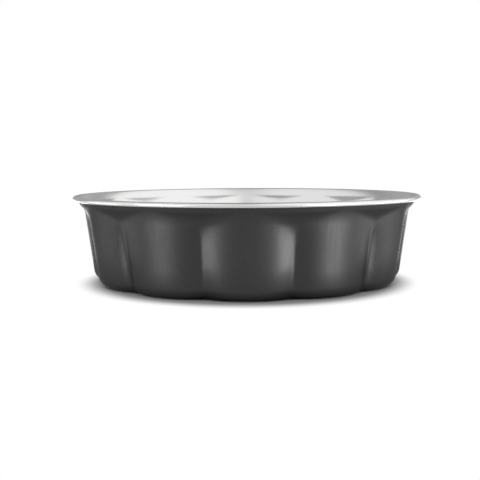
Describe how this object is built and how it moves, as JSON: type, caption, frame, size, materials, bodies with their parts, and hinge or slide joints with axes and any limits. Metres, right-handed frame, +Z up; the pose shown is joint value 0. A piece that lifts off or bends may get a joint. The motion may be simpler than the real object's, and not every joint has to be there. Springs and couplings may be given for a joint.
{
  "type": "cake pan",
  "caption": "Round fluted cake pan pressed from thin sheet, bright inside and dark coated outside, with a rolled wired rim. Holds batter while it bakes and gives the cake its scalloped side.",
  "frame": {"origin": "centre of the face that the pan rests on", "axes": "+Z up along the pan's axis, -Y through the middle of the flute that faces the camera in the picture"},
  "size_m": [0.2598, 0.2598, 0.0639],
  "materials": {
    "bright_aluminium": "bright satin sheet with fine drawing lines",
    "dark_coat": "dark charcoal satin baked-on coat",
    "rim_steel": "plain drawn wire, hidden in the rim"
  },
  "bodies": {
    "root": {"pan_shell": "bright_aluminium", "outer_coat": "dark_coat", "rim_wire": "rim_steel"}
  },
  "joints": []
}
